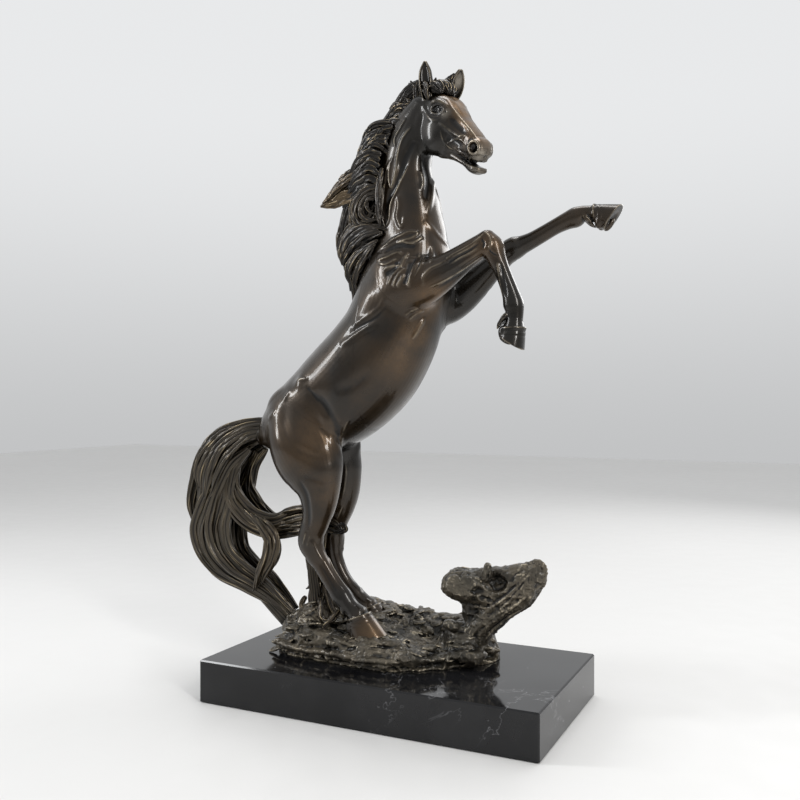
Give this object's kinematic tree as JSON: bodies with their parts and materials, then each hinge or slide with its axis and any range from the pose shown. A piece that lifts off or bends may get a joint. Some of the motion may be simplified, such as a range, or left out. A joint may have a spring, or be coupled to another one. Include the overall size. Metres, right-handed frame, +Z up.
{
  "type": "horse statue",
  "caption": "Rearing horse cast in dark bronze, with flowing mane and tail, standing on a rocky bronze ground with a broken log, bolted to a black marble plinth.",
  "frame": {"origin": "centre of the plinth's underside, on the surface the statue stands on", "axes": "+X the way the horse faces, along the plinth's long side; +Y to the horse's left; +Z up"},
  "size_m": [0.4265, 0.17, 0.5563],
  "materials": {
    "bronze_body": "dark brown patina, waxed and polished, warmer on the lower and forward muscles",
    "bronze_hair": "near black patina, worn to gold on the ridges",
    "bronze_rock": "olive brown patina, rough, worn to gold on the high points",
    "marble": "polished black with sparse white flecks",
    "felt": "green baize",
    "steel": "zinc plated"
  },
  "bodies": {
    "root": {"marble_plinth": "marble", "felt_sheet": "felt", "stud_rear": "steel", "stud_front": "steel", "washer_rear": "steel", "washer_front": "steel", "nut_rear": "steel", "nut_front": "steel", "hoof_pin_right": "steel", "hoof_pin_left": "steel", "tail_pin": "steel", "ground_casting": "bronze_rock", "log_casting": "bronze_rock", "mane_casting": "bronze_hair", "forelock_casting": "bronze_hair", "tail_casting": "bronze_hair", "tail_lock_casting": "bronze_hair", "torso_casting": "bronze_body", "neck_casting": "bronze_body", "head_casting": "bronze_body", "foreleg_right_casting": "bronze_body", "foreleg_left_casting": "bronze_body", "hindleg_right_casting": "bronze_body", "hindleg_left_casting": "bronze_body"}
  },
  "joints": []
}
